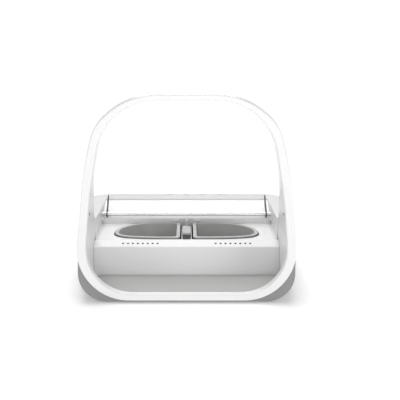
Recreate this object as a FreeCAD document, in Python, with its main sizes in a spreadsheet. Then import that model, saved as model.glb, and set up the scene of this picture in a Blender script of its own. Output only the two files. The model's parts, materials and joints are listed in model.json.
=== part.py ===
import FreeCAD, Part
import math
import os
import Sketcher

# Automatic pet feeder with a reader hoop, two half bowls on scales and a geared clear lid.
# Millimetres, +Z up. The model is drawn with the hoop's front at y = 0 and the pet on the -Y side,
# and write_nodes moves the origin to the middle of the footprint.

doc = FreeCAD.newDocument("PetFeeder")
sheet = doc.addObject("Spreadsheet::Sheet", "Sizes")

DRIVING_SIZES = [
    ("body_width", 230.0), ("body_depth", 315.0), ("body_front", 4.0), ("shoulder_y", 130.0),
    ("rear_width", 224.0), ("rear_radius", 60.0), ("front_radius", 5.0), ("base_radius", 28.0),
    ("foot_height", 1.5), ("foot_radius", 6.0), ("wall", 2.5), ("tub_top", 44.0), ("gap", 0.3),
    ("hoop_width", 212.8), ("hoop_height", 203.4), ("hoop_bottom", 3.0), ("hoop_split", 10.0),
    ("hoop_depth", 22.0), ("hoop_rear", 100.0), ("hoop_inner_width", 194.0), ("hoop_band", 5.6),
    ("hoop_lip", 6.6), ("sweep_start", 131.0), ("sweep_end", 66.0), ("hoop_floor", 8.0),
    ("antenna_inset", 1.7), ("antenna_width", 1.6), ("antenna_depth", 5.6),
    ("mat_width", 182.0), ("mat_thickness", 2.0), ("mat_radius", 3.0),
    ("mat_front_radius", 12.0),
    ("fascia_y", 77.0), ("fascia_edge", 39.6), ("fascia_run", 9.6), ("deck_height", 45.0),
    ("deck_half", 96.3), ("light_pitch", 5.17), ("light_first", 30.4), ("light_radius", 1.15),
    ("light_count", 8.0), ("light_length", 3.2),
    ("opening_half", 78.5), ("opening_front", 90.4), ("opening_back", 174.4),
    ("opening_front_radius", 24.0), ("opening_back_radius", 50.0), ("opening_bow", 8.0),
    ("bowl_gap", 1.2), ("bowl_rise", 1.8), ("bowl_depth", 30.8), ("bowl_draft", 9.8),
    ("bowl_wall", 1.8), ("bowl_flange", 2.2), ("bowl_rim", 1.6),
    ("divider_half", 6.0), ("divider_depth", 6.0), ("divider_drop", 2.0),
    ("platform_thickness", 2.0), ("cell_width", 12.0), ("cell_height", 7.0),
    ("hinge_y", 181.0), ("hinge_z", 55.0), ("shaft_radius", 2.0), ("lid_reach", 84.0),
    ("lid_angle", 144.0), ("lid_half", 94.0), ("lid_thickness", 3.0), ("lid_bar", 3.6),
    ("strap_length", 30.0), ("strap_thickness", 1.5), ("bracket_thickness", 3.4),
    ("hump_height", 63.0), ("hump_fall", 4.0), ("shoulder_height", 66.0),
    ("trough_height", 51.0), ("trough_back", 187.0),
    ("gear_module", 0.75), ("lid_teeth", 14.0), ("idler_teeth", 20.0), ("gear_width", 4.0),
    ("gear_backlash", 0.08), ("gear_lean", 36.0), ("motor_radius", 8.0), ("motor_length", 24.0),
    ("battery_radius", 13.1), ("battery_length", 50.0), ("bay_margin", 4.0), ("bay_front", 208.0),
    ("bay_side", 6.0), ("door_thickness", 2.0),
    ("board_width", 120.0), ("board_depth", 26.0), ("board_y", 270.0), ("board_z", 46.0),
    ("button_radius", 4.0), ("button_pitch", 20.0), ("button_stroke", 1.0), ("button_y", 284.0),
    ("screw_radius", 1.4), ("screw_head", 3.0), ("post_radius", 3.6), ("sensor_radius", 1.2),
]
for row, (alias, number) in enumerate(DRIVING_SIZES, start=1):
    sheet.set("A%d" % row, alias)
    sheet.set("B%d" % row, repr(number))
    sheet.setAlias("B%d" % row, alias)
doc.recompute()


class Size:
    """A length that carries both its number and the spreadsheet expression it comes from."""

    def __init__(self, text, number):
        self.text = text
        self.number = float(number)

    @staticmethod
    def of(value):
        if isinstance(value, Size):
            return value
        return Size("(%r)" % float(value), value)

    def _join(self, sign, other, number):
        return Size("(%s %s %s)" % (self.text, sign, other.text), number)

    def __add__(self, other):
        other = Size.of(other)
        return self._join("+", other, self.number + other.number)

    def __sub__(self, other):
        other = Size.of(other)
        return self._join("-", other, self.number - other.number)

    def __mul__(self, other):
        other = Size.of(other)
        return self._join("*", other, self.number * other.number)

    def __truediv__(self, other):
        other = Size.of(other)
        return self._join("/", other, self.number / other.number)

    def __radd__(self, other):
        return Size.of(other) + self

    def __rsub__(self, other):
        return Size.of(other) - self

    def __rmul__(self, other):
        return Size.of(other) * self

    def __neg__(self):
        return Size("(0 - %s)" % self.text, -self.number)

    def __float__(self):
        return self.number


class Sizes:
    """Reads the sheet: S.wall is the cell with the alias wall."""

    def __getattr__(self, alias):
        return Size("Sizes.%s" % alias, sheet.get(alias))


S = Sizes()
nodes = {}


def bind(item, place, value):
    """Set one size of a feature from the sheet."""
    item.setExpression(place, Size.of(value).text)


def new_body(name, several=False):
    body = doc.addObject("PartDesign::Body", name)
    body.Label = name
    if several:
        body.AllowCompound = True
    return body


def keep(name, item):
    item.Label = name
    nodes[name] = item
    return item


# ---------------------------------------------------------------- sketches and features

NORMAL_SIGN = {"XY": 1, "XZ": -1, "YZ": 1}


def new_sketch(body, plane, at):
    """A sketch on an origin plane, moved along the plane's own axis to the coordinate `at`."""
    sketch = body.newObject("Sketcher::SketchObject", body.Name + "_sketch")
    origin = [o for o in body.Origin.OriginFeatures if o.Role == plane + "_Plane"][0]
    sketch.AttachmentSupport = [(origin, "")]
    sketch.MapMode = "FlatFace"
    bind(sketch, "AttachmentOffset.Base.z", NORMAL_SIGN[plane] * Size.of(at))
    return sketch


def fix_point(sketch, geometry, point, x, y):
    for kind, value in (("DistanceX", x), ("DistanceY", y)):
        value = Size.of(value)
        index = sketch.addConstraint(Sketcher.Constraint(kind, -1, 1, geometry, point, float(value)))
        bind(sketch, "Constraints[%d]" % index, value)


def add_circle(sketch, x, y, radius):
    centre = FreeCAD.Vector(float(Size.of(x)), float(Size.of(y)), 0)
    circle = Part.Circle(centre, FreeCAD.Vector(0, 0, 1), float(Size.of(radius)))
    index = sketch.addGeometry(circle)
    fix_point(sketch, index, 3, x, y)
    place = sketch.addConstraint(Sketcher.Constraint("Radius", index, float(Size.of(radius))))
    bind(sketch, "Constraints[%d]" % place, radius)


def add_outline(sketch, corners):
    """A closed outline through corners (x, y, radius): the sides run straight between corners and
    each radius is an arc tangent to both sides. Corner points and radii are bound to the sheet."""
    corners = [tuple(Size.of(v) for v in corner) for corner in corners]
    count = len(corners)
    points = [FreeCAD.Vector(float(x), float(y), 0) for x, y, _ in corners]
    ends = []
    for i, (_, _, radius) in enumerate(corners):
        here = points[i]
        before = (points[i - 1] - here).normalize()
        after = (points[(i + 1) % count] - here).normalize()
        half = before.getAngle(after) / 2
        reach = float(radius) / math.tan(half)
        ends.append((here + before * reach, here + after * reach, before, after, half))
    lines = []
    for i in range(count):
        lines.append(sketch.addGeometry(Part.LineSegment(ends[i][1], ends[(i + 1) % count][0])))
    for i, (x, y, radius) in enumerate(corners):
        last, following = lines[i - 1], lines[i]
        if float(radius) == 0:
            sketch.addConstraint(Sketcher.Constraint("Coincident", last, 2, following, 1))
            fix_point(sketch, following, 1, x, y)
            continue
        start, finish, before, after, half = ends[i]
        centre = points[i] + (before + after).normalize() * (float(radius) / math.sin(half))
        middle = centre + (points[i] - centre).normalize() * float(radius)
        arc = sketch.addGeometry(Part.Arc(start, middle, finish))
        arc_starts_here = sketch.getPoint(arc, 1).distanceToPoint(start) < 1e-6
        near, far = (1, 2) if arc_starts_here else (2, 1)
        sketch.addConstraint(Sketcher.Constraint("Tangent", last, 2, arc, near))
        sketch.addConstraint(Sketcher.Constraint("Tangent", arc, far, following, 1))
        place = sketch.addConstraint(Sketcher.Constraint("Radius", arc, float(radius)))
        bind(sketch, "Constraints[%d]" % place, radius)
        corner = sketch.addGeometry(Part.Point(points[i]), True)
        sketch.addConstraint(Sketcher.Constraint("PointOnObject", corner, 1, last))
        sketch.addConstraint(Sketcher.Constraint("PointOnObject", corner, 1, following))
        fix_point(sketch, corner, 1, x, y)


def extrude(body, kind, plane, start, end, outlines=(), circles=()):
    """A Pad or Pocket of closed outlines and circles between two coordinates along the axis."""
    sketch = new_sketch(body, plane, start)
    for corners in outlines:
        add_outline(sketch, corners)
    for circle in circles:
        add_circle(sketch, *circle)
    feature = body.newObject("PartDesign::" + kind, body.Name + "_" + kind.lower())
    feature.Profile = sketch
    bind(feature, "Length", Size.of(end) - Size.of(start))
    along_axis = NORMAL_SIGN[plane] > 0
    feature.Reversed = along_axis if kind == "Pocket" else not along_axis
    sketch.Visibility = False
    return feature


def pad(body, plane, start, end, *outlines, circles=()):
    return extrude(body, "Pad", plane, start, end, outlines, circles)


def pocket(body, plane, start, end, *outlines, circles=()):
    return extrude(body, "Pocket", plane, start, end, outlines, circles)


def loft(body, kind, plane, sections):
    """A ruled loft through (coordinate, outline) sections with the same number of corners."""
    sketches = []
    for at, corners in sections:
        sketch = new_sketch(body, plane, at)
        add_outline(sketch, corners)
        sketch.Visibility = False
        sketches.append(sketch)
    feature = body.newObject("PartDesign::" + kind, body.Name + "_loft")
    feature.Profile = sketches[0]
    feature.Sections = sketches[1:]
    feature.Ruled = True
    return feature


def subtract(body, tool):
    """Cut another body out of this one, as a hollow or a clearance."""
    cut = body.newObject("PartDesign::Boolean", body.Name + "_cut")
    cut.Type = "Cut"
    cut.setObjects([tool])
    return cut


def box(x0, x1, y0, y1, radius=0):
    return [(x0, y0, radius), (x1, y0, radius), (x1, y1, radius), (x0, y1, radius)]


def mirrored(half):
    """Close an outline from its right half, given from bottom to top."""
    return list(half) + [(-Size.of(x), y, r) for x, y, r in reversed(half)]


def both_sides(x0, x1, y0, y1, radius=0):
    return [box(x0, x1, y0, y1, radius), box(-Size.of(x1), -Size.of(x0), y0, y1, radius)]


def on_hinge(body):
    """Stand a lid piece, drawn closed with the hinge at its origin, in its open rest position."""
    body.Placement = FreeCAD.Placement(
        FreeCAD.Vector(0, float(S.hinge_y), float(S.hinge_z)),
        FreeCAD.Rotation(FreeCAD.Vector(-1, 0, 0), float(S.lid_angle)))
    bind(body, "Placement.Base.y", S.hinge_y)
    bind(body, "Placement.Base.z", S.hinge_z)
    bind(body, "Placement.Rotation.Angle", S.lid_angle)


# ---------------------------------------------------------------- shared outlines

body_half = S.body_width / 2
rear_half = S.rear_width / 2
hoop_half = S.hoop_width / 2
hoop_inner_half = S.hoop_inner_width / 2
front_half = hoop_half - 0.4
tub_floor = S.foot_height + S.wall


def half_width_at(y):
    """Half the body's width, which grows in a straight line from the front to the shoulders."""
    share = (Size.of(y) - S.body_front) / (S.shoulder_y - S.body_front)
    return front_half + (body_half - front_half) * share


def plan_outline(inset):
    """The body seen from above, moved in by `inset`."""
    return mirrored([
        (front_half - inset, S.body_front + inset, S.front_radius - inset),
        (body_half - inset, S.shoulder_y, 0),
        (rear_half - inset, S.body_depth - inset, S.rear_radius - inset)])


def tub_section(half, inset):
    """The lower body seen from the front, with its large bottom radii."""
    radius = S.base_radius - inset
    return [(half - inset, S.foot_height + inset, radius), (half - inset, S.tub_top, 0),
            (inset - half, S.tub_top, 0), (inset - half, S.foot_height + inset, radius)]


def hoop_outer(extra=0):
    """The hoop's outer outline, `extra` wider on each side."""
    extra = Size.of(extra)
    return mirrored([
        (hoop_half + extra, S.hoop_bottom, 50), (hoop_half + extra, 57, 60),
        (hoop_half - 7.5 + extra, S.hoop_height - 71.9, 250),
        (hoop_half - 17.5 + extra, S.hoop_height - 30.1, 45), (55.6, S.hoop_height, 76)])


def hoop_inset(inset):
    """The hoop's outer outline moved in by `inset`, for the antenna's channel."""
    inset = Size.of(inset)
    return mirrored([
        (hoop_half - inset, S.hoop_bottom + inset, 50 - inset),
        (hoop_half - inset, 57 - inset * 0.05, 60 - inset),
        (hoop_half - 7.5 - inset * 0.99, S.hoop_height - 71.9 - inset * 0.17, 250 - inset),
        (hoop_half - 17.5 - inset * 0.9, S.hoop_height - 30.1 - inset * 0.535, 45 - inset),
        (55.6 - inset * 0.384, S.hoop_height - inset, 76 - inset)])


def hoop_inner_top():
    """The inner outline's sides, shoulders and top, which widen the band at the shoulders."""
    top = S.hoop_height - S.hoop_band
    return [(hoop_inner_half, 62, 60), (hoop_inner_half - 4.1, top - 90.8, 250),
            (hoop_inner_half - 14, top - 30.7, 58), (hoop_inner_half - 44.7, top, 58)]


def well_front(half, inset):
    """The two corners that give the well its bowed front."""
    front = S.opening_front + inset
    return [(half * 0.55, front, 130 - inset),
            (half, front + S.opening_bow, S.opening_front_radius - inset)]


def opening(inset):
    """The bowl well seen from above, moved in by `inset`."""
    inset = Size.of(inset)
    half = S.opening_half - inset
    return mirrored(well_front(half, inset)
                    + [(half, S.opening_back - inset, S.opening_back_radius - inset)])


def bowl_outline(side, inset, inner):
    """One half of the well, for side -1 or 1, with its straight side `inner` from the middle."""
    outer = S.opening_half - inset
    inset = Size.of(inset)
    points = [(Size.of(inner), S.opening_front + inset, 4)] + well_front(outer, inset) + [
        (outer, S.opening_back - inset, S.opening_back_radius - inset),
        (Size.of(inner), S.opening_back - inset, 4)]
    if side > 0:
        return points
    return [(-x, y, r) for x, y, r in reversed(points)]


# ---------------------------------------------------------------- lower tub

bay_inner = S.bay_side
bay_outer = S.bay_side + S.battery_length + S.bay_margin * 2
bay_back = S.bay_front + S.battery_radius * 4 + S.bay_margin
SCREW_PLACES = [(82, 108), (82, 160), (76, 274), (26, 301)]
REAR_SCREWS = SCREW_PLACES[2:]


def screw_circles(radius):
    return [(side * x, y, radius) for x, y in SCREW_PLACES for side in (-1, 1)]


def tub_shape(body, inset, start, end):
    sections = [(y, tub_section(half, inset)) for y, half in (
        (start, half_width_at(start)), (S.shoulder_y, body_half), (end, rear_half))]
    loft(body, "AdditiveLoft", "XZ", sections)


def outside_plan(body, inset, bottom, top):
    margin = body_half + 20
    frame = box(-margin, margin, -20, S.body_depth + 20)
    pocket(body, "XY", bottom, top, frame, plan_outline(inset))


def make_lower_tub():
    hollow = new_body("tub_hollow")
    tub_shape(hollow, S.wall, S.body_front + S.wall, S.body_depth - S.wall)
    outside_plan(hollow, S.wall, 0, S.tub_top + 1)
    tub = new_body("lower_tub")
    tub_shape(tub, Size.of(0), S.body_front, S.body_depth)
    outside_plan(tub, Size.of(0), 0, S.tub_top + 1)
    subtract(tub, hollow)
    pocket(tub, "XZ", 0, S.hoop_split + S.gap, hoop_inset(-S.gap))
    bays = both_sides(bay_inner, bay_outer, S.bay_front, bay_back)
    pocket(tub, "XY", 0, tub_floor + 1, *bays)
    pocket(tub, "XY", 0, tub_floor + 1, circles=screw_circles(S.screw_radius + 0.15))
    pocket(tub, "XY", 0, S.foot_height + 1.2, circles=screw_circles(S.screw_head + 0.2))
    keep("lower_tub", tub)


# ---------------------------------------------------------------- hoop

def make_hoop_front():
    hoop = new_body("hoop_front_shell")
    inner = mirrored([(hoop_inner_half, S.hoop_bottom + S.hoop_lip, 43)] + hoop_inner_top())
    pad(hoop, "XZ", 0, S.hoop_split, hoop_outer(), inner)
    channel = S.hoop_split - S.antenna_depth
    pocket(hoop, "XZ", channel, S.hoop_split, hoop_inset(S.antenna_inset),
           hoop_inset(S.antenna_inset + S.antenna_width))
    keep("hoop_front_shell", hoop)
    coil = new_body("antenna_coil")
    pad(coil, "XZ", channel + 0.2, S.hoop_split - 0.2, hoop_inset(S.antenna_inset + 0.15),
        hoop_inset(S.antenna_inset + S.antenna_width - 0.15))
    keep("antenna_coil", coil)


def make_hoop_rear():
    """The rear of the hoop with the swept side wings and the tray floor under the mat."""
    hoop = new_body("hoop_rear_shell")
    start = S.hoop_split
    loft(hoop, "AdditiveLoft", "XZ", [
        (start, hoop_outer(half_width_at(start) - hoop_half)),
        (S.hoop_rear, hoop_outer(half_width_at(S.hoop_rear) - hoop_half))])
    margin = body_half + 20
    pocket(hoop, "XY", 0, S.tub_top, box(-margin, margin, 0, S.body_depth))
    lower_inset = S.wall + S.gap
    lower = [(y, tub_section(half_width_at(y), lower_inset)) for y in (
        start + S.gap, S.hoop_rear)]
    loft(hoop, "AdditiveLoft", "XZ", lower)
    inner = mirrored([(hoop_inner_half, S.hoop_floor, 0)] + hoop_inner_top())
    pocket(hoop, "XZ", 0, S.body_depth, inner)
    sweep = [(S.hoop_depth, S.hoop_height + 40, 0), (S.hoop_depth, S.sweep_start, 60),
             (S.hoop_rear - 12, S.sweep_end, 40), (S.hoop_rear + 1, S.sweep_end, 0),
             (S.hoop_rear + 1, S.hoop_height + 40, 0)]
    pocket(hoop, "YZ", -margin, margin, sweep)
    for side in (-1, 1):
        edge = side * hoop_inner_half
        pocket(hoop, "YZ", edge - 3, edge + 3, circles=[(16, 86, S.sensor_radius + 0.05)])
    keep("hoop_rear_shell", hoop)


def make_presence_sensors():
    """The two small sensor windows that face each other across the hoop."""
    for side, name in ((-1, "presence_sensor_left"), (1, "presence_sensor_right")):
        sensor = new_body(name)
        face = side * (hoop_inner_half - 1.6)
        pad(sensor, "YZ", face - 1.0, face + 1.0, circles=[(16, 86, S.sensor_radius)])
        keep(name, sensor)


def make_mat():
    mat = new_body("floor_mat")
    half = S.mat_width / 2
    front, back = S.hoop_split + 0.6, S.fascia_y - 0.4
    pad(mat, "XY", S.hoop_floor + 0.05, S.hoop_floor + S.mat_thickness, [
        (-half, front, S.mat_front_radius), (half, front, S.mat_front_radius),
        (half, back, S.mat_radius), (-half, back, S.mat_radius)])
    keep("floor_mat", mat)


# ---------------------------------------------------------------- fascia and indicator lights

fascia_top = S.fascia_y + S.fascia_run
slope = math.atan2(float(S.deck_height - S.fascia_edge), float(S.fascia_run))


def light_holes(radius, length, sink):
    """Round pins square to the sloped face: sink is how far they stand below it."""
    rows = {-1: [], 1: []}
    middle_y = float(S.fascia_y + S.fascia_run / 2)
    middle_z = float((S.fascia_edge + S.deck_height) / 2)
    inward = FreeCAD.Vector(0, math.sin(slope), -math.cos(slope))
    for side in (-1, 1):
        for number in range(int(float(S.light_count))):
            x = side * float(S.light_first + S.light_pitch * number)
            pin = doc.addObject("Part::Cylinder", "pin")
            bind(pin, "Radius", radius)
            bind(pin, "Height", length)
            place = FreeCAD.Vector(x, middle_y, middle_z) + inward * sink
            pin.Placement = FreeCAD.Placement(
                place, FreeCAD.Rotation(FreeCAD.Vector(0, 0, 1), inward))
            rows[side].append(pin)
    return rows


def make_fascia():
    wall = new_body("front_wall")
    t = S.wall
    half = hoop_inner_half - 0.2
    pad(wall, "YZ", -half, half, [
        (S.fascia_y, S.hoop_floor + 0.1, 0), (S.fascia_y + t, S.hoop_floor + 0.1, 0),
        (S.fascia_y + t, S.fascia_edge - t * 0.6, 0), (fascia_top - 0.1, S.deck_height - t, 0),
        (fascia_top - 0.1, S.deck_height, 0), (S.fascia_y, S.fascia_edge, 1.5)])
    drills = light_holes(S.light_radius + 0.04, S.light_length + 2, -1.0)
    tools = doc.addObject("Part::MultiFuse", "light_drills")
    tools.Shapes = drills[-1] + drills[1]
    cut = doc.addObject("Part::Cut", "front_wall_drilled")
    cut.Base = wall
    cut.Tool = tools
    wall.Label = "front_wall_blank"
    keep("front_wall", cut)
    pins = light_holes(S.light_radius, S.light_length, 0.05)
    for side, name in ((-1, "indicator_lights_left"), (1, "indicator_lights_right")):
        group = doc.addObject("Part::Compound", name)
        group.Links = pins[side]
        keep(name, group)


# ---------------------------------------------------------------- upper cover

deck_under = S.deck_height - S.wall
cover_front = fascia_top
crest_y = S.hinge_y + 69
roof_end = S.body_depth - 14
switch_x = S.button_pitch * 2.2


def above(points, top):
    """Close an outline over a rising line of (y, z) points."""
    return list(points) + [(points[-1][0], top, 0), (points[0][0], top, 0)]


def roof_height(y):
    """The top of the cover behind its crest, where it falls gently to the rear."""
    return S.hump_height - S.hump_fall * (y - crest_y) / (roof_end - crest_y)


def cover_blank(body, inset):
    """The cover's outside, or with an inset the hollow beneath it."""
    inset = Size.of(inset)
    side = half_width_at(S.hoop_rear)
    front = S.hoop_rear + S.gap + inset
    pad(body, "XY", S.tub_top - (1 if float(inset) else 0), 80, mirrored([
        (S.deck_half - 0.2, (S.hinge_y - 3.5 if float(inset) else cover_front), 0),
        (S.deck_half - 0.2 + inset, front, 0), (side - inset, front, 0),
        (body_half - inset, S.shoulder_y, 0),
        (rear_half - inset, S.body_depth - inset, S.rear_radius - inset)]))
    margin = body_half + 20
    roof = [(S.hoop_rear - 20, S.sweep_end - inset, 0),
            (S.hoop_rear + 20, S.sweep_end - 1 - inset, 0),
            (crest_y, S.hump_height - inset, 120),
            (roof_end, S.hump_height - S.hump_fall - inset, 14),
            (S.body_depth + 6, S.tub_top - inset, 0)]
    pocket(body, "YZ", -margin, margin, above(roof, S.shoulder_height + 60))


def make_cover():
    inner = new_body("cover_hollow")
    cover_blank(inner, S.wall)
    half = S.deck_half
    trough = [(S.fascia_y, S.trough_height - S.wall, 0),
              (S.trough_back - S.wall, S.trough_height - S.wall, 0),
              (S.trough_back + 1, S.trough_height + 0.5, 0),
              (S.hinge_y + 55, S.hump_height - 1 - S.wall, 0)]
    pocket(inner, "YZ", -half - S.wall, half + S.wall, above(trough, 120))
    cover = new_body("upper_cover")
    cover_blank(cover, 0)
    pad(cover, "XY", deck_under, S.tub_top, box(-half + 0.2, half - 0.2, cover_front, S.hinge_y + 1))
    outer_trough = [(S.fascia_y, S.trough_height, 0), (S.trough_back, S.trough_height, 0),
                    (S.trough_back + 3.5, S.trough_height + 3, 0),
                    (S.hinge_y + 55, S.hump_height - 1, 0)]
    pocket(cover, "YZ", -half, half, above(outer_trough, 120))
    pocket(cover, "XY", S.deck_height, 120, box(-half, half, 0, S.hinge_y - 4))
    subtract(cover, inner)
    pocket(cover, "XY", deck_under - 1, 100, opening(0))
    for x, y in SCREW_PLACES:
        roof = roof_height(y) - S.wall / 2 if (x, y) in REAR_SCREWS else deck_under + 1
        for side in (-1, 1):
            pad(cover, "XY", tub_floor + 0.2, roof, circles=[(side * x, y, S.post_radius)])
    pocket(cover, "XY", tub_floor - 1, S.tub_top - 8, circles=screw_circles(S.screw_radius))
    pocket(cover, "YZ", -half - 8, half + 8, circles=[(S.hinge_y, S.hinge_z, S.shaft_radius + 0.4)])
    buttons = [(S.button_pitch * place, S.button_y, S.button_radius + 0.3) for place in (-1, 0, 1)]
    pocket(cover, "XY", S.tub_top, 90, circles=buttons)
    pocket(cover, "XY", S.tub_top, 90,
           box(switch_x - 6, switch_x + 6, S.button_y - 2.3, S.button_y + 2.3))
    keep("upper_cover", cover)


def make_riser_strip():
    """The strip behind the bowls with its four small hooks."""
    strip = new_body("riser_strip")
    back = S.hinge_y - 4.1
    pad(strip, "XY", S.deck_height + 0.05, S.trough_height - 0.3, box(-65, 65, back - 2, back))
    for x in (12.4, 56):
        for side in (-1, 1):
            pad(strip, "XY", S.trough_height - 3, S.trough_height - 1.4,
                box(side * x - 2.6, side * x + 2.6, back - 3.6, back - 1.9))
    keep("riser_strip", strip)


# ---------------------------------------------------------------- bowls and scales

bowl_top = S.deck_height + S.bowl_rise
bowl_bottom = bowl_top - S.bowl_depth
flange = S.bowl_flange
SIDES = ((-1, "left"), (1, "right"))


def make_bowl(side, name):
    bowl = new_body("bowl_" + name)
    inner = S.divider_half + 0.9
    rim = S.bowl_gap
    pad(bowl, "XY", bowl_top - S.bowl_rim, bowl_top, bowl_outline(side, rim, inner))
    top, bottom = rim + flange, rim + flange + S.bowl_draft
    loft(bowl, "AdditiveLoft", "XY", [
        (bowl_bottom, bowl_outline(side, bottom, inner + flange + 3)),
        (bowl_top, bowl_outline(side, top, inner + flange))])
    t = S.bowl_wall
    loft(bowl, "SubtractiveLoft", "XY", [
        (bowl_bottom + t, bowl_outline(side, bottom + t, inner + flange + 3 + t)),
        (bowl_top, bowl_outline(side, top + t, inner + flange + t))])
    keep("bowl_" + name, bowl)


def make_scale(side, name):
    """Under each bowl: a platform plate on one end of a load cell bar."""
    x0, x1 = side * 16, side * 66
    low, high = min(x0, x1), max(x0, x1)
    middle_y = (S.opening_front + S.opening_back) / 2
    platform = new_body("weigh_platform_" + name)
    top = bowl_bottom - 0.05
    pad(platform, "XY", top - S.platform_thickness, top,
        box(low, high, S.opening_front + 14, S.opening_back - 20, 6))
    keep("weigh_platform_" + name, platform)
    cell = new_body("load_cell_" + name)
    cell_top = top - S.platform_thickness
    y0, y1 = middle_y - S.cell_width / 2, middle_y + S.cell_width / 2
    pad(cell, "XY", cell_top - S.cell_height, cell_top, box(low + 4, high - 4, y0, y1))
    pocket(cell, "XY", cell_top - 1, cell_top, box(low + 18, high, y0 - 1, y1 + 1))
    pocket(cell, "XY", cell_top - S.cell_height, cell_top - S.cell_height + 1,
           box(low, high - 18, y0 - 1, y1 + 1))
    hole = cell_top - S.cell_height / 2
    middle_x = (low + high) / 2
    pocket(cell, "XZ", y0 - 1, y1 + 1, circles=[(middle_x - 3, hole, 1.8)])
    pocket(cell, "XZ", y0 - 1, y1 + 1, circles=[(middle_x + 3, hole, 1.8)])
    pad(cell, "XY", tub_floor, cell_top - S.cell_height, box(high - 17, high - 5, y0, y1))
    keep("load_cell_" + name, cell)


def make_divider():
    """The bridge between the bowls, with its raised grip in front and a peg at the rear."""
    bridge = new_body("bowl_divider")
    half = S.divider_half - 0.4
    top = S.deck_height - S.divider_drop
    pad(bridge, "XY", top - S.divider_depth, top,
        box(-half, half, S.opening_front + 0.3, S.opening_back - 0.3))
    pad(bridge, "XY", top, S.deck_height + 2.2, box(-4.2, 4.2, 112, 150, 1.5))
    pad(bridge, "YZ", -1.7, 1.7, [(158, top, 0), (171, top, 0), (171, 51, 2), (164, 51, 2)])
    keep("bowl_divider", bridge)
    grip = new_body("divider_grip")
    pad(grip, "YZ", -4.3, 4.3, [(92, top, 0), (103, top, 0), (102, 50, 2), (93, 49.4, 2)])
    keep("divider_grip", grip)


# ---------------------------------------------------------------- lid, hinge and gear train

lid_inner_half = S.deck_half - 0.5 - S.bracket_thickness - 0.5
strap_outer = lid_inner_half - 0.2
pane_half = strap_outer - S.strap_thickness - 0.1


def make_lid():
    pane = new_body("lid_pane")
    pane_front = -S.lid_reach
    pad(pane, "XY", 0, S.lid_thickness, mirrored([
        (S.lid_half, pane_front, 4), (strap_outer, -S.strap_length - 3, 0),
        (pane_half, -S.strap_length - 1, 0), (pane_half, -S.shaft_radius - 2, 1)]))
    for side in (-1, 1):
        skirt = side * (pane_half - 1.2)
        pad(pane, "XY", -0.9, 0.5, box(skirt - 1.1, skirt + 1.1, pane_front + 5, -6))
    keep("lid_pane", pane)
    bar = new_body("lid_front_bar")
    half = S.lid_half - 5.5
    pad(bar, "YZ", -half, half, [
        (pane_front - S.lid_bar, -0.6, 1.2), (pane_front - 0.05, -0.6, 0),
        (pane_front - 0.05, S.lid_thickness + 0.6, 0),
        (pane_front - S.lid_bar, S.lid_thickness + 0.6, 1.2)])
    keep("lid_front_bar", bar)
    for side, name in SIDES:
        cap = new_body("lid_end_cap_" + name)
        ends = sorted([side * float(S.lid_half - 5.4), side * float(S.lid_half)])
        pad(cap, "XY", -1.6, S.lid_thickness + 1.6, box(ends[0], ends[1], pane_front - S.lid_bar - 0.6,
                                                       pane_front - 0.05, 0.8))
        keep("lid_end_cap_" + name, cap)
        strap = new_body("lid_strap_" + name)
        faces = sorted([side * float(strap_outer - S.strap_thickness), side * float(strap_outer)])
        pad(strap, "YZ", faces[0], faces[1], [
            (-S.strap_length, -0.8, 1.5), (3.6, -3.6, 3), (3.6, 3.6, 3), (-S.strap_length, 3.4, 1.5)],
            circles=[(0, 0, S.shaft_radius)])
        keep("lid_strap_" + name, strap)
    for name in ("lid_pane", "lid_front_bar", "lid_end_cap_left", "lid_end_cap_right",
                 "lid_strap_left", "lid_strap_right"):
        on_hinge(nodes[name])


gear_face = S.deck_half + S.wall + 2.6
gear_distance = S.gear_module * (S.lid_teeth + S.idler_teeth) / 2 + S.gear_backlash
lean = math.radians(float(S.gear_lean))
idler_y = S.hinge_y + gear_distance * math.sin(lean)
idler_z = S.hinge_z - gear_distance * math.cos(lean)
motor_y = idler_y + gear_distance * math.sin(lean)
motor_z = idler_z - gear_distance * math.cos(lean)


def make_shaft():
    shaft = new_body("hinge_shaft")
    pad(shaft, "YZ", -S.deck_half - 3.5, gear_face + S.gear_width + 0.8,
        circles=[(S.hinge_y, S.hinge_z, S.shaft_radius)])
    keep("hinge_shaft", shaft)


def make_brackets():
    for side, name in SIDES:
        bracket = new_body("hinge_bracket_" + name)
        inner = float(S.deck_half - 0.3 - S.bracket_thickness)
        faces = sorted([side * inner, side * (inner + float(S.bracket_thickness))])
        deck = S.deck_height + 0.05
        step = S.hinge_y - 4.1
        top = S.trough_height + 0.05
        pad(bracket, "YZ", faces[0], faces[1], [
            (cover_front + 0.8, deck, 0), (step, deck, 0), (step, top, 0),
            (S.hinge_y + 5.6, top, 0), (S.hinge_y + 5, S.hinge_z + 5, 4),
            (S.hinge_y - 7, S.hinge_z + 5, 4), (S.shoulder_y, deck + 5.8, 30),
            (cover_front + 0.8, deck + 3.6, 2)],
            circles=[(S.hinge_y, S.hinge_z, S.shaft_radius + 0.06)])
        keep("hinge_bracket_" + name, bracket)


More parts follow.
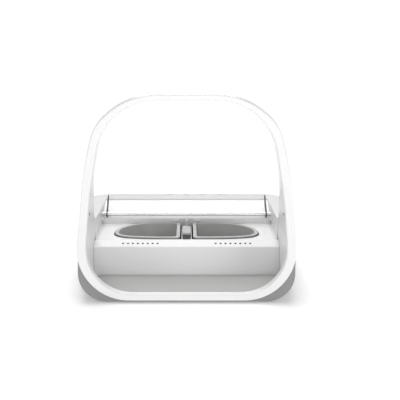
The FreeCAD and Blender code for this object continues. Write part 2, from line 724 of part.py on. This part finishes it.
def gear_wheel(name, teeth, y, z, bore, turn):
    """A spur gear with straight-flanked teeth, its tooth pairs set to mesh at the lean angle."""
    count = int(float(teeth))
    module = float(S.gear_module)
    pitch, tip, root = module * count / 2, module * (count / 2 + 0.9), module * (count / 2 - 1.15)
    step = 2 * math.pi / count
    points = []
    for number in range(count):
        centre = turn + number * step
        for radius, offset in ((root, -0.34), (pitch, -0.232), (tip, -0.12),
                               (tip, 0.12), (pitch, 0.232), (root, 0.34)):
            angle = centre + offset * step
            points.append(FreeCAD.Vector(0, radius * math.cos(angle), radius * math.sin(angle)))
    wire = Part.makePolygon(points + points[:1])
    solid = Part.Face(wire).extrude(FreeCAD.Vector(float(S.gear_width), 0, 0))
    hole = Part.makeCylinder(float(bore), float(S.gear_width) + 2, FreeCAD.Vector(-1, 0, 0),
                             FreeCAD.Vector(1, 0, 0))
    gear = doc.addObject("Part::Feature", name)
    gear.Shape = solid.cut(hole)
    gear.Placement = FreeCAD.Placement(FreeCAD.Vector(float(gear_face), float(y), float(z)),
                                       FreeCAD.Rotation())
    keep(name, gear)


def make_gear_train():
    down = -math.pi / 2 + lean
    gear_wheel("lid_gear", S.lid_teeth, S.hinge_y, S.hinge_z, S.shaft_radius, down)
    half_tooth = math.pi / float(S.idler_teeth)
    gear_wheel("idler_gear", S.idler_teeth, idler_y, idler_z, Size.of(1.56),
               down + math.pi + half_tooth)
    gear_wheel("motor_pinion", S.lid_teeth, motor_y, motor_z, Size.of(1.5), down + math.pi
               + math.pi / float(S.lid_teeth) * (int(float(S.idler_teeth)) / 2 % 1 * 2))
    plate_face = S.deck_half + S.wall + 0.3
    plate = new_body("gear_plate")
    pad(plate, "YZ", plate_face, plate_face + 1.5, [
        (S.hinge_y - 7, S.hinge_z + 4, 4), (motor_y - 14, motor_z - 9, 4),
        (motor_y + 9, motor_z - 9, 4), (motor_y + 9, motor_z + 14, 6),
        (S.hinge_y + 7, S.hinge_z + 4, 4)],
        circles=[(S.hinge_y, S.hinge_z, S.shaft_radius + 0.06), (motor_y, motor_z, 1.9)])
    pocket(plate, "YZ", plate_face, plate_face + 1.5, circles=[(idler_y, idler_z, 1.5)])
    keep("gear_plate", plate)
    pin = new_body("idler_pin")
    pad(pin, "YZ", plate_face, gear_face + S.gear_width + 1, circles=[(idler_y, idler_z, 1.5)])
    keep("idler_pin", pin)
    box_length = 14
    gearbox = new_body("motor_gearbox")
    pad(gearbox, "YZ", plate_face - 0.05 - box_length, plate_face - 0.05,
        circles=[(motor_y, motor_z, S.motor_radius)])
    pocket(gearbox, "YZ", plate_face - 6, plate_face + 1, circles=[(motor_y, motor_z, 1.6)])
    keep("motor_gearbox", gearbox)
    motor = new_body("lid_motor")
    end = plate_face - 0.1 - box_length
    pad(motor, "YZ", end - S.motor_length, end, circles=[(motor_y, motor_z, S.motor_radius - 1)])
    pad(motor, "YZ", end - S.motor_length - 3, end - S.motor_length, circles=[(motor_y, motor_z, 2.5)])
    keep("lid_motor", motor)
    output = new_body("motor_shaft")
    pad(output, "YZ", plate_face - 5.5, gear_face + S.gear_width + 0.5,
        circles=[(motor_y, motor_z, 1.5)])
    keep("motor_shaft", output)


# ---------------------------------------------------------------- batteries

def make_battery_box():
    box_body = new_body("battery_box")
    top = tub_floor + S.battery_radius * 2 + 3.5
    rim = 2
    pad(box_body, "XY", tub_floor, top, box(-bay_outer - rim, bay_outer + rim,
                                            S.bay_front - rim, bay_back + rim, 3))
    pocket(box_body, "XY", tub_floor, top - rim,
           *both_sides(bay_inner, bay_outer, S.bay_front, bay_back))
    keep("battery_box", box_body)


def make_batteries(side, name):
    cells = new_body("batteries_" + name, several=True)
    start = sorted([side * float(bay_inner + S.bay_margin), side * float(bay_outer - S.bay_margin)])
    z = tub_floor + S.battery_radius + 0.3
    centres = [(S.bay_front + S.battery_radius + 1, z, S.battery_radius),
               (bay_back - S.battery_radius - 1, z, S.battery_radius)]
    pad(cells, "YZ", start[0] + 0.2, start[1] - 1.2, circles=centres)
    caps = [(y, height, 4) for y, height, _ in centres]
    pad(cells, "YZ", start[1] - 1.2, start[1] - 0.2, circles=caps)
    keep("batteries_" + name, cells)
    contacts = new_body("battery_contacts_" + name, several=True)
    for face in (start[0] - 1.2, start[1] + 0.2):
        pad(contacts, "YZ", face, face + 1.0, *[
            box(y - 6, y + 6, height - 7, height + 7, 2) for y, height, _ in centres])
    keep("battery_contacts_" + name, contacts)


def make_battery_door(side, name):
    door = new_body("battery_door_" + name)
    low, high = sorted([side * float(bay_inner + S.gap), side * float(bay_outer - S.gap)])
    pad(door, "XY", S.foot_height + 0.1, S.foot_height + 0.1 + S.door_thickness,
        box(low, high, S.bay_front + S.gap, bay_back - S.gap))
    middle = (low + high) / 2
    pocket(door, "XY", S.foot_height, S.foot_height + 1.0,
           box(middle - 10, middle + 10, bay_back - 10, bay_back - 4, 2))
    keep("battery_door_" + name, door)


# ---------------------------------------------------------------- board and controls

def make_board():
    board = new_body("circuit_board")
    half = S.board_width / 2
    z = S.board_z
    pad(board, "XY", z, z + 1.6, box(-half, half, S.board_y, S.board_y + S.board_depth, 2))
    parts = [(-S.button_pitch, 5.0), (Size.of(0), 5.0), (S.button_pitch, 5.0), (switch_x, 8.0)]
    for x, width in parts:
        pad(board, "XY", z + 1.6, z + 3.2,
            box(x - width / 2, x + width / 2, S.button_y - 2.5, S.button_y + 2.5))
    pad(board, "XY", z + 1.6, z + 2.8, box(-half + 12, -half + 26, S.board_y + 6, S.board_y + 20))
    pad(board, "XY", z - 5, z, box(half - 16, half - 8, S.board_y + 4, S.board_y + 20))
    keep("circuit_board", board)


button_top = roof_height(S.button_y) + 1.1


def make_buttons():
    for place, name in ((-1, "add_pet_button"), (0, "open_close_button"), (1, "zero_scale_button")):
        button = new_body(name)
        x = S.button_pitch * place
        low = S.board_z + 3.2 + S.button_stroke + 0.3
        shoulder = roof_height(S.button_y) - S.wall - 2.2
        pad(button, "XY", low, shoulder, circles=[(x, S.button_y, S.button_radius + 1)])
        pad(button, "XY", shoulder, button_top, circles=[(x, S.button_y, S.button_radius)])
        keep(name, button)
    knob = new_body("close_delay_switch")
    low = S.board_z + 3.4
    pad(knob, "XY", low, button_top,
        box(switch_x - 5.4, switch_x - 1.4, S.button_y - 2, S.button_y + 2, 0.6))
    keep("close_delay_switch", knob)


# ---------------------------------------------------------------- feet and screws

def make_feet():
    feet = new_body("rubber_feet", several=True)
    spots = [(side * 62, y, S.foot_radius) for side in (-1, 1) for y in (34, 288)]
    pad(feet, "XY", 0, S.foot_height, circles=spots)
    keep("rubber_feet", feet)


def make_screws():
    screws = new_body("case_screws", several=True)
    seat = S.foot_height + 1.2
    pad(screws, "XY", S.foot_height + 0.1, seat, circles=screw_circles(S.screw_head))
    pad(screws, "XY", seat, tub_floor + 14, circles=screw_circles(S.screw_radius - 0.02))
    keep("case_screws", screws)


# ---------------------------------------------------------------- build, check and write

def build():
    make_lower_tub()
    make_hoop_front()
    make_hoop_rear()
    make_presence_sensors()
    make_mat()
    make_fascia()
    make_cover()
    make_riser_strip()
    for side, name in SIDES:
        make_bowl(side, name)
        make_scale(side, name)
        make_batteries(side, name)
        make_battery_door(side, name)
    make_divider()
    make_lid()
    make_shaft()
    make_brackets()
    make_gear_train()
    make_battery_box()
    make_board()
    make_buttons()
    make_feet()
    make_screws()


CUTTING_FEATURES = ("PartDesign::Pocket", "PartDesign::SubtractiveLoft", "PartDesign::Boolean")


def check_model():
    """Stop if a feature failed, a shape is not valid or a cut removed nothing."""
    for item in doc.Objects:
        if "Invalid" in item.State or "Error" in item.State:
            raise RuntimeError("%s failed: %s" % (item.Name, item.State))
        if item.isDerivedFrom("PartDesign::Feature") and getattr(item, "BaseFeature", None):
            before, after = item.BaseFeature.Shape.Volume, item.Shape.Volume
            cuts = item.TypeId in CUTTING_FEATURES
            if (cuts and after >= before - 1e-3) or (not cuts and after <= before + 1e-3):
                raise RuntimeError("%s changes nothing" % item.Name)
    for name, item in nodes.items():
        if item.Shape.isNull() or not item.Shape.isValid() or item.Shape.Volume <= 0:
            raise RuntimeError("%s has no valid solid" % name)


def write_nodes():
    """Write every node with the origin at the middle of the footprint, on the floor."""
    os.makedirs("parts", exist_ok=True)
    to_middle = FreeCAD.Vector(0, -float(S.body_depth) / 2, 0)
    for name, item in nodes.items():
        item.Shape.translated(to_middle).exportStep("parts/%s.step" % name)
    print("%d nodes written" % len(nodes))


build()
doc.recompute()
check_model()
write_nodes()
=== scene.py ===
import json
import math

import bmesh
import bpy
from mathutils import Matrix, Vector


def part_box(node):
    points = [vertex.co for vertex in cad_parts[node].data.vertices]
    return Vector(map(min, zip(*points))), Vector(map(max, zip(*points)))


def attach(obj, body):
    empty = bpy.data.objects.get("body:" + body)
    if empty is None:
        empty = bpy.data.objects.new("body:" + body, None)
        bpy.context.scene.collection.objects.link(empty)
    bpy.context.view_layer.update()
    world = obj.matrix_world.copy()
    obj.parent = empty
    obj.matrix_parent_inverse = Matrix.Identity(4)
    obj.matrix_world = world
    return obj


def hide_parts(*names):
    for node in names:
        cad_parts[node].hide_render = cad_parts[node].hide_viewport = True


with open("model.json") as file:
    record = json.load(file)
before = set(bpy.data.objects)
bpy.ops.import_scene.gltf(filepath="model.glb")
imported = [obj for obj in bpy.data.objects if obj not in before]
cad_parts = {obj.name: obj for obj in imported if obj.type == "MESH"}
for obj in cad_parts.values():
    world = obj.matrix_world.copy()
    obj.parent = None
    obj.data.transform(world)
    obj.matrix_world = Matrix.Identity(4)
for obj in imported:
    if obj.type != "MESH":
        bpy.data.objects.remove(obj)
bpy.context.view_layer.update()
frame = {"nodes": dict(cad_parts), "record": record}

MM = 0.001
NODES = frame["nodes"]
HOOP_LOW, HOOP_HIGH = (Vector(corner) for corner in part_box("hoop_front_shell"))
COVER_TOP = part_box("upper_cover")[1].z
DECK_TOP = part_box("front_wall")[1].z


# ---------------------------------------------------------------- shared effects

def effect(name, inputs, output):
    """An empty shader group with its named inputs and one output; gives the tree and its two ends."""
    tree = bpy.data.node_groups.new(name, "ShaderNodeTree")
    for label, kind, default in inputs:
        socket = tree.interface.new_socket(label, in_out="INPUT", socket_type=kind)
        if default is not None:
            socket.default_value = default
    tree.interface.new_socket(output[0], in_out="OUTPUT", socket_type=output[1])
    return tree, tree.nodes.new("NodeGroupInput"), tree.nodes.new("NodeGroupOutput")


def math_node(tree, operation, first, second=None):
    """A Math node on two sockets or numbers; gives its result."""
    node = tree.nodes.new("ShaderNodeMath")
    node.operation = operation
    for slot, value in enumerate((first, second)):
        if value is None:
            continue
        if isinstance(value, (int, float)):
            node.inputs[slot].default_value = value
        else:
            tree.links.new(value, node.inputs[slot])
    return node.outputs[0]


def noise(tree, place, scale, detail=3.0, rough=0.55):
    """A noise value over the surface; scale is a number or a socket."""
    node = tree.nodes.new("ShaderNodeTexNoise")
    node.inputs["Detail"].default_value = detail
    node.inputs["Roughness"].default_value = rough
    tree.links.new(place, node.inputs["Vector"])
    if isinstance(scale, (int, float)):
        node.inputs["Scale"].default_value = scale
    else:
        tree.links.new(scale, node.inputs["Scale"])
    return node.outputs["Fac"]


def make_mould_grain():
    """The fine even texture that a spark-eroded mould leaves on plastic and rubber."""
    tree, start, end = effect(
        "mould_grain",
        [("Place", "NodeSocketVector", None), ("Scale", "NodeSocketFloat", 1400.0),
         ("Pits", "NodeSocketFloat", 0.5)],
        ("Height", "NodeSocketFloat"))
    cells = tree.nodes.new("ShaderNodeTexVoronoi")
    tree.links.new(start.outputs["Place"], cells.inputs["Vector"])
    tree.links.new(start.outputs["Scale"], cells.inputs["Scale"])
    fine = noise(tree, start.outputs["Place"], start.outputs["Scale"])
    pits = math_node(tree, "MULTIPLY", cells.outputs["Distance"], start.outputs["Pits"])
    tree.links.new(math_node(tree, "ADD", fine, pits), end.inputs["Height"])
    return tree


def make_tone_drift():
    """A colour that drifts a little over the surface, as moulded and dyed parts do."""
    tree, start, end = effect(
        "tone_drift",
        [("Place", "NodeSocketVector", None), ("Tone", "NodeSocketColor", None),
         ("Size", "NodeSocketFloat", 9.0), ("Amount", "NodeSocketFloat", 0.03)],
        ("Colour", "NodeSocketColor"))
    broad = noise(tree, start.outputs["Place"], start.outputs["Size"], 2.0)
    swing = math_node(tree, "SUBTRACT", broad, 0.5)
    change = math_node(tree, "MULTIPLY", swing, start.outputs["Amount"])
    value = math_node(tree, "ADD", change, 1.0)
    shade = tree.nodes.new("ShaderNodeHueSaturation")
    tree.links.new(value, shade.inputs["Value"])
    tree.links.new(start.outputs["Tone"], shade.inputs["Color"])
    tree.links.new(shade.outputs["Color"], end.inputs["Colour"])
    return tree


def make_handling_marks():
    """Gloss that varies where hands and cloths have rubbed, with faint wiping streaks."""
    tree, start, end = effect(
        "handling_marks",
        [("Place", "NodeSocketVector", None), ("Roughness", "NodeSocketFloat", 0.4),
         ("Spread", "NodeSocketFloat", 0.1), ("Streaks", "NodeSocketFloat", 0.03)],
        ("Roughness", "NodeSocketFloat"))
    patches = math_node(tree, "SUBTRACT", noise(tree, start.outputs["Place"], 22.0, 4.0), 0.5)
    stretch = tree.nodes.new("ShaderNodeMapping")
    stretch.inputs["Scale"].default_value = (1.0, 0.06, 1.0)
    stretch.inputs["Rotation"].default_value = (0.2, 0.1, 0.5)
    tree.links.new(start.outputs["Place"], stretch.inputs["Vector"])
    streaks = math_node(tree, "SUBTRACT", noise(tree, stretch.outputs["Vector"], 900.0, 2.0), 0.5)
    wide = math_node(tree, "MULTIPLY", patches, start.outputs["Spread"])
    thin = math_node(tree, "MULTIPLY", streaks, start.outputs["Streaks"])
    total = math_node(tree, "ADD", math_node(tree, "ADD", wide, thin), start.outputs["Roughness"])
    tree.links.new(total, end.inputs["Roughness"])
    return tree


MOULD_GRAIN = make_mould_grain()
TONE_DRIFT = make_tone_drift()
HANDLING_MARKS = make_handling_marks()


def place_effect(tree, group, place, **values):
    """One shared effect placed in a material, with its own values; gives its output."""
    node = tree.nodes.new("ShaderNodeGroup")
    node.node_tree = group
    tree.links.new(place, node.inputs["Place"])
    for label, value in values.items():
        node.inputs[label].default_value = value
    return node.outputs[0]


# ---------------------------------------------------------------- finishes

def finish_of(name, tone, roughness, drift=(9.0, 0.03), marks=(0.1, 0.03), grain=None, **sockets):
    """A moulded or metal finish: tone drift, handling marks, and a grain (scale, depth, pits)."""
    made = bpy.data.materials.new(name)
    made.use_nodes = True
    tree = made.node_tree
    shader = tree.nodes["Principled BSDF"]
    for label, value in sockets.items():
        shader.inputs[label.replace("_", " ")].default_value = value
    place = tree.nodes.new("ShaderNodeTexCoord").outputs["Object"]
    colour = place_effect(tree, TONE_DRIFT, place, Tone=(*tone, 1.0), Size=drift[0], Amount=drift[1])
    tree.links.new(colour, shader.inputs["Base Color"])
    gloss = place_effect(tree, HANDLING_MARKS, place, Roughness=roughness, Spread=marks[0],
                         Streaks=marks[1])
    tree.links.new(gloss, shader.inputs["Roughness"])
    if grain:
        scale, depth, pits = grain
        height = place_effect(tree, MOULD_GRAIN, place, Scale=scale, Pits=pits)
        bump = tree.nodes.new("ShaderNodeBump")
        bump.inputs["Strength"].default_value = 1.0
        bump.inputs["Distance"].default_value = depth
        tree.links.new(height, bump.inputs["Height"])
        tree.links.new(bump.outputs["Normal"], shader.inputs["Normal"])
    return made


def clear_finish(name, tone, roughness, cover):
    """Clear moulded plastic; cover is how much of what lies behind it the surface hides."""
    return finish_of(name, tone, roughness, drift=(6.0, 0.01), marks=(0.03, 0.02), Alpha=cover,
                     IOR=1.49)


FINISHES = {
    "white_shell": finish_of("white_shell", (0.78, 0.78, 0.78), 0.34, drift=(7.0, 0.02),
                             grain=(2200.0, 0.000008, 0.4), Coat_Weight=0.15, Coat_Roughness=0.2),
    # painted light: a lighter copy of the white shell plastic, so the recessed front wall reads
    # brighter against the shade it sits in
    "white_wall_painted_light": finish_of("white_wall_painted_light", (0.88, 0.88, 0.88), 0.36, drift=(7.0, 0.02),
                            grain=(2200.0, 0.000008, 0.4)),
    # partly the tub's own grey and partly painted shade: its tone is darkened to the shade on the
    # tub's downward-facing sides under the body
    "grey_base": finish_of("grey_base", (0.25, 0.25, 0.255), 0.55, drift=(8.0, 0.05),
                           grain=(1300.0, 0.00003, 0.8)),
    "mat_grey": finish_of("mat_grey", (0.43, 0.43, 0.425), 0.62, drift=(10.0, 0.06),
                          grain=(900.0, 0.00005, 0.7)),
    "bowl_grey": finish_of("bowl_grey", (0.385, 0.385, 0.38), 0.33, drift=(12.0, 0.05),
                           grain=(1800.0, 0.00001, 0.4)),
    "dark_grey": finish_of("dark_grey", (0.045, 0.045, 0.05), 0.45, drift=(15.0, 0.08),
                           grain=(1500.0, 0.00002, 0.6)),
    "clear_lid": clear_finish("clear_lid", (0.9, 0.91, 0.91), 0.05, 0.09),
    # painted shade: a darker, more covering clear finish for edge faces, standing in for the dark line
    # that refraction draws along clear plastic edges
    "clear_edge_painted_shade": clear_finish("clear_edge_painted_shade", (0.34, 0.35, 0.35), 0.12, 0.62),
    "clear_arm": clear_finish("clear_arm", (0.78, 0.79, 0.79), 0.15, 0.55),
    "light_lens": finish_of("light_lens", (0.008, 0.008, 0.009), 0.35, Specular_IOR_Level=0.3),
    "steel": finish_of("steel", (0.72, 0.72, 0.73), 0.2, marks=(0.1, 0.12), Metallic=1.0),
    "rubber": finish_of("rubber", (0.03, 0.03, 0.03), 0.75, grain=(1600.0, 0.00003, 0.7)),
    "gear_plastic": finish_of("gear_plastic", (0.76, 0.73, 0.64), 0.38,
                              grain=(1800.0, 0.000008, 0.4)),
    "copper": finish_of("copper", (0.62, 0.24, 0.11), 0.28, Metallic=1.0, Coat_Weight=0.5),
    "board_green": finish_of("board_green", (0.012, 0.085, 0.035), 0.3, drift=(40.0, 0.15),
                             Coat_Weight=0.4),
    "battery_wrap": finish_of("battery_wrap", (0.02, 0.022, 0.028), 0.25, Coat_Weight=0.5),
    "button_white": finish_of("button_white", (0.76, 0.76, 0.76), 0.4, grain=(1700.0, 0.00001, 0.5)),
    # painted shade: the riser strip is a greyed copy of the white plastic, standing for the shade it
    # sits in under the hinge
    "strip_grey": finish_of("strip_grey", (0.72, 0.72, 0.72), 0.35, grain=(1700.0, 0.00001, 0.5)),
}


def wear(piece, slot):
    """Gives a piece the finish for the record's slot."""
    piece.data.materials.clear()
    piece.data.materials.append(FINISHES[slot])


# ---------------------------------------------------------------- mesh helpers

BODY_OF = {node: body for body, nodes in frame["record"]["behaviour"]["bodies"].items()
           for node in nodes}
SLOT_OF = {part["node"]: part["material_slot"] for part in frame["record"]["subparts"]}
SHARP = math.radians(28)  # edges that turn more than this are rounded
SPLIT = math.radians(40)  # edges that turn more than this stay hard in the shading
FLAT = math.radians(0.5)  # faces that turn less than this are one flat area
JOINED = 1e-6             # corners nearer than this are one corner


def close_up(bm, name, slot, body, replaced=()):
    """Turns a finished bmesh into a smooth-shaded piece that rides on a body."""
    mesh = bpy.data.meshes.new(name)
    for face in bm.faces:
        face.smooth = True
    for edge in bm.edges:
        edge.smooth = not (edge.is_manifold and edge.calc_face_angle(0.0) > SPLIT)
    bm.to_mesh(mesh)
    bm.free()
    piece = bpy.data.objects.new(name, mesh)
    bpy.context.scene.collection.objects.link(piece)
    even = piece.modifiers.new("even_normals", "WEIGHTED_NORMAL")
    even.keep_sharp = True
    even.weight = 80
    wear(piece, slot)
    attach(piece, body)
    if replaced:
        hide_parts(*replaced)
    return piece


def merged_copy(node):
    """The CAD node's own surface with its loose triangles joined up and flat areas made whole."""
    bm = bmesh.new()
    bm.from_mesh(NODES[node].data)
    bmesh.ops.remove_doubles(bm, verts=bm.verts, dist=JOINED)
    bmesh.ops.dissolve_limit(bm, angle_limit=FLAT, verts=bm.verts, edges=bm.edges,
                             delimit=set())
    return bm


def round_edges(bm, width, segments, chosen=None, hollow=None):
    """Rounds the sharp edges that `chosen` picks by their middle.

    hollow True keeps only inside corners, False only outside ones, and None keeps both.
    """
    edges = []
    for edge in bm.edges:
        if not edge.is_manifold or edge.calc_face_angle(0.0) < SHARP:
            continue
        if hollow is not None and edge.is_convex == hollow:
            continue
        middle = (edge.verts[0].co + edge.verts[1].co) / 2
        if chosen is None or chosen(middle):
            edges.append(edge)
    if edges:
        bmesh.ops.bevel(bm, geom=edges, offset=width, offset_type="OFFSET", segments=segments,
                        profile=0.5, affect="EDGES", clamp_overlap=True, loop_slide=True,
                        material=-1)


def rounded(node, *passes, also=()):
    """A finished piece standing for a CAD node; each pass is (width, segments[, chosen[, hollow]]).

    also lists further finishes, each with a test of a face that says where it goes.
    """
    bm = merged_copy(node)
    for step in passes:
        round_edges(bm, *step)
    for face in bm.faces:
        for number, (_, belongs) in enumerate(also, start=1):
            if belongs(face):
                face.material_index = number
    piece = close_up(bm, node + "_finished", SLOT_OF[node], BODY_OF[node], (node,))
    for finish, _ in also:
        piece.data.materials.append(FINISHES[finish])
    return piece


# ---------------------------------------------------------------- pieces

def make_hoop():
    """The arch's two shells: soft outer rims, and a hairline seam where they meet."""
    seam = HOOP_HIGH.y
    rounded("hoop_front_shell",
            (1.6 * MM, 4, lambda at: at.y < HOOP_LOW.y + 1 * MM),
            (0.2 * MM, 1, lambda at: at.y > seam - 0.2 * MM))
    rounded("hoop_rear_shell",
            (0.2 * MM, 1, lambda at: at.y < seam + 0.2 * MM),
            (1.2 * MM, 4, lambda at: at.y > seam + 1.5 * MM and at.z > COVER_TOP - 14 * MM))


def make_body():
    """The lower tub, the cover over it and the wall in front of the bowls."""
    rounded("lower_tub", (0.5 * MM, 2))
    rounded("upper_cover", (0.8 * MM, 3))
    # the front wall wears the lighter copy of the shell plastic: painted light against the shade of
    # its recess
    rounded("front_wall", (0.9 * MM, 3), also=[("white_wall_painted_light", lambda face: True)])
    rounded("riser_strip", (0.3 * MM, 2))


def make_bowls():
    """The two half bowls with swept floors and painted shade, in dark grey, on the upright outside of
    each rim.
    """
    for node in ("bowl_left", "bowl_right"):
        low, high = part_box(node)
        # the rim's upright outside is painted dark grey as shade
        rounded(node,
                (3.2 * MM, 5, lambda at: at.z < high.z - 8 * MM, True),
                (0.45 * MM, 3, lambda at: at.z > high.z - 3 * MM),
                also=[("dark_grey", lambda face: is_painted_shade_rim_side(face, (low + high) / 2, high.z))])


# painted shade: how far down from the rim top the dark grey shade on each bowl's outer side reaches
PAINTED_SHADE_RIM_DEPTH = 2.2 * MM
UPRIGHT = 0.6


def is_painted_shade_rim_side(face, middle, top):
    """True on the upright outer side of a bowl's rim, which faces away from the bowl's middle; painted
    shade goes there.
    """
    outward = face.calc_center_median() - middle
    return (outward.z + middle.z > top - PAINTED_SHADE_RIM_DEPTH and abs(face.normal.z) < UPRIGHT
            and face.normal.x * outward.x + face.normal.y * outward.y > 0)


def make_mat():
    """The mat on the arch's floor, with soft edges."""
    rounded("floor_mat", (0.6 * MM, 3))


ALONG_AN_AXIS = 0.97


def make_lid():
    """The clear pane with its front bar, caps and side straps; the edge faces carry a painted shade
    line, and the caps' downward faces are painted dark as shade.
    """
    low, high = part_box("lid_pane")
    along = Vector((0, high.y - low.y, high.z - low.z)).normalized()
    across = Vector((0, -along.z, along.y))

    def is_edge(face):
        flat = max(abs(face.normal.dot(way)) for way in (along, across, Vector((1, 0, 0))))
        return flat < ALONG_AN_AXIS

    # edge faces get painted shade standing for refraction along clear edges
    for node in ("lid_pane", "lid_front_bar"):
        rounded(node, (0.35 * MM, 2), also=[("clear_edge_painted_shade", is_edge)])
    # the caps' downward-facing faces are painted dark grey as shade
    for node in ("lid_end_cap_left", "lid_end_cap_right"):
        rounded(node, (0.6 * MM, 3), also=[("clear_edge_painted_shade", is_edge),
                                           ("dark_grey", lambda face: face.normal.z < -0.5)])
    for node in ("lid_strap_left", "lid_strap_right"):
        rounded(node, (0.4 * MM, 2))
    rounded("hinge_shaft", (0.4 * MM, 2))


def make_brackets():
    """The clear side arms that carry the hinge, outlined by painted shade on their rounded edges."""
    for node in ("hinge_bracket_left", "hinge_bracket_right"):
        rounded(node, (0.5 * MM, 2),
                also=[("clear_arm", lambda face: abs(face.normal.x) > ALONG_AN_AXIS),
                      ("clear_edge_painted_shade", lambda face: abs(face.normal.x) <= ALONG_AN_AXIS)])


PEG_SHARE = 0.78  # how far along the divider its rear peg starts


def make_divider():
    """The bridge between the bowls, with its dark rear peg and its dark grip."""
    low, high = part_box("bowl_divider")
    peg_start = low.y + (high.y - low.y) * PEG_SHARE
    peg_base = DECK_TOP - 1.5 * MM
    rounded("bowl_divider", (0.4 * MM, 2),
            also=[("dark_grey", lambda face: face.calc_center_median().y > peg_start
                   and face.calc_center_median().z > peg_base)])
    rounded("divider_grip", (0.7 * MM, 3))


def make_controls():
    """The rear panel's three buttons and its close-delay switch."""
    for node in ("add_pet_button", "open_close_button", "zero_scale_button"):
        rounded(node, (0.5 * MM, 3))
    rounded("close_delay_switch", (0.25 * MM, 2))


def make_underside():
    """The battery doors, feet and case screws."""
    for node in ("battery_door_left", "battery_door_right", "rubber_feet", "case_screws"):
        rounded(node, (0.25 * MM, 2))


def finish_inner_nodes():
    """Every CAD node that still shows gets its slot's finish."""
    for name, node in NODES.items():
        if node.hide_render:
            continue
        for place in node.material_slots:
            place.link = "OBJECT"
            place.material = FINISHES[SLOT_OF[name]]


# ---------------------------------------------------------------- stage

SKY = 0.44
BACKDROP = 1.4
OVERHEAD = 1.3
FLOOR_GLOW = 0.2
CAMERA_BACK = 0.940
CAMERA_HEIGHT = 0.267
CAMERA_PITCH = 9.91
# each lamp: name, place, what it faces, size and power
FILLS = (("fill_right", (0.8, -1.1, 0.35), (-0.05, -0.05, 0.06), 0.6, 3.4),
         ("fill_left", (-0.9, -1.0, 0.25), (0.0, -0.1, 0.05), 0.6, 1.8),
         ("fill_front", (0.0, -1.7, 0.22), (0.0, -0.1, 0.04), 0.5, 3.6),
         ("lamp_behind", (0.0, 0.75, 0.55), (0.0, 0.05, 0.06), 0.4, 2.2))


def make_floor():
    """A wide matt white floor that glows faintly."""
    bm = bmesh.new()
    bmesh.ops.create_grid(bm, x_segments=2, y_segments=2, size=30.0)
    mesh = bpy.data.meshes.new("floor")
    bm.to_mesh(mesh)
    bm.free()
    floor = bpy.data.objects.new("floor", mesh)
    bpy.context.scene.collection.objects.link(floor)
    paper = bpy.data.materials.new("floor_paper")
    paper.use_nodes = True
    shader = paper.node_tree.nodes["Principled BSDF"]
    shader.inputs["Base Color"].default_value = (0.97, 0.97, 0.97, 1.0)
    shader.inputs["Roughness"].default_value = 1.0
    shader.inputs["Specular IOR Level"].default_value = 0.0
    shader.inputs["Emission Color"].default_value = (1.0, 1.0, 1.0, 1.0)
    shader.inputs["Emission Strength"].default_value = FLOOR_GLOW
    mesh.materials.append(paper)


def make_lights():
    """A white studio: an even sky, a soft overhead lamp, fills in front and a lamp behind."""
    scene = bpy.context.scene
    scene.view_settings.view_transform = "Standard"
    world = bpy.data.worlds.new("studio")
    scene.world = world
    world.use_nodes = True
    tree = world.node_tree
    sky = tree.nodes["Background"]
    sky.inputs["Color"].default_value = (1.0, 1.0, 1.0, 1.0)
    sky.inputs["Strength"].default_value = SKY
    backdrop = tree.nodes.new("ShaderNodeBackground")
    backdrop.inputs["Strength"].default_value = BACKDROP
    seen = tree.nodes.new("ShaderNodeLightPath")
    either = tree.nodes.new("ShaderNodeMixShader")
    tree.links.new(seen.outputs["Is Camera Ray"], either.inputs["Fac"])
    tree.links.new(sky.outputs["Background"], either.inputs[1])
    tree.links.new(backdrop.outputs["Background"], either.inputs[2])
    tree.links.new(either.outputs["Shader"], tree.nodes["World Output"].inputs["Surface"])
    overhead = bpy.data.lights.new("overhead", "SUN")
    overhead.energy = OVERHEAD
    overhead.angle = math.radians(38)
    lamp = bpy.data.objects.new("overhead", overhead)
    lamp.rotation_euler = (math.radians(-13), math.radians(-4), 0.0)
    scene.collection.objects.link(lamp)
    for name, at, aim, size, power in FILLS:
        soft = bpy.data.lights.new(name, "AREA")
        soft.shape = "SQUARE"
        soft.size = size
        soft.energy = power
        light = bpy.data.objects.new(name, soft)
        light.location = at
        light.rotation_euler = (Vector(aim) - Vector(at)).to_track_quat("-Z", "Y").to_euler()
        scene.collection.objects.link(light)


def make_camera():
    """The camera in front of the arch, a little above the feeder and looking down at it."""
    camera = bpy.data.cameras.new("camera")
    camera.lens = 89.8
    camera.sensor_width = 36.0
    camera.shift_x = 0.0335
    camera.clip_start = 0.05
    camera.clip_end = 100.0
    stand = bpy.data.objects.new("camera", camera)
    stand.location = (0.0, HOOP_LOW.y - CAMERA_BACK, CAMERA_HEIGHT)
    stand.rotation_euler = (math.radians(90 - CAMERA_PITCH), 0.0, 0.0)
    bpy.context.scene.collection.objects.link(stand)
    bpy.context.scene.camera = stand


make_hoop()
make_body()
make_bowls()
make_mat()
make_lid()
make_brackets()
make_divider()
make_controls()
make_underside()
finish_inner_nodes()
make_floor()
make_lights()
make_camera()
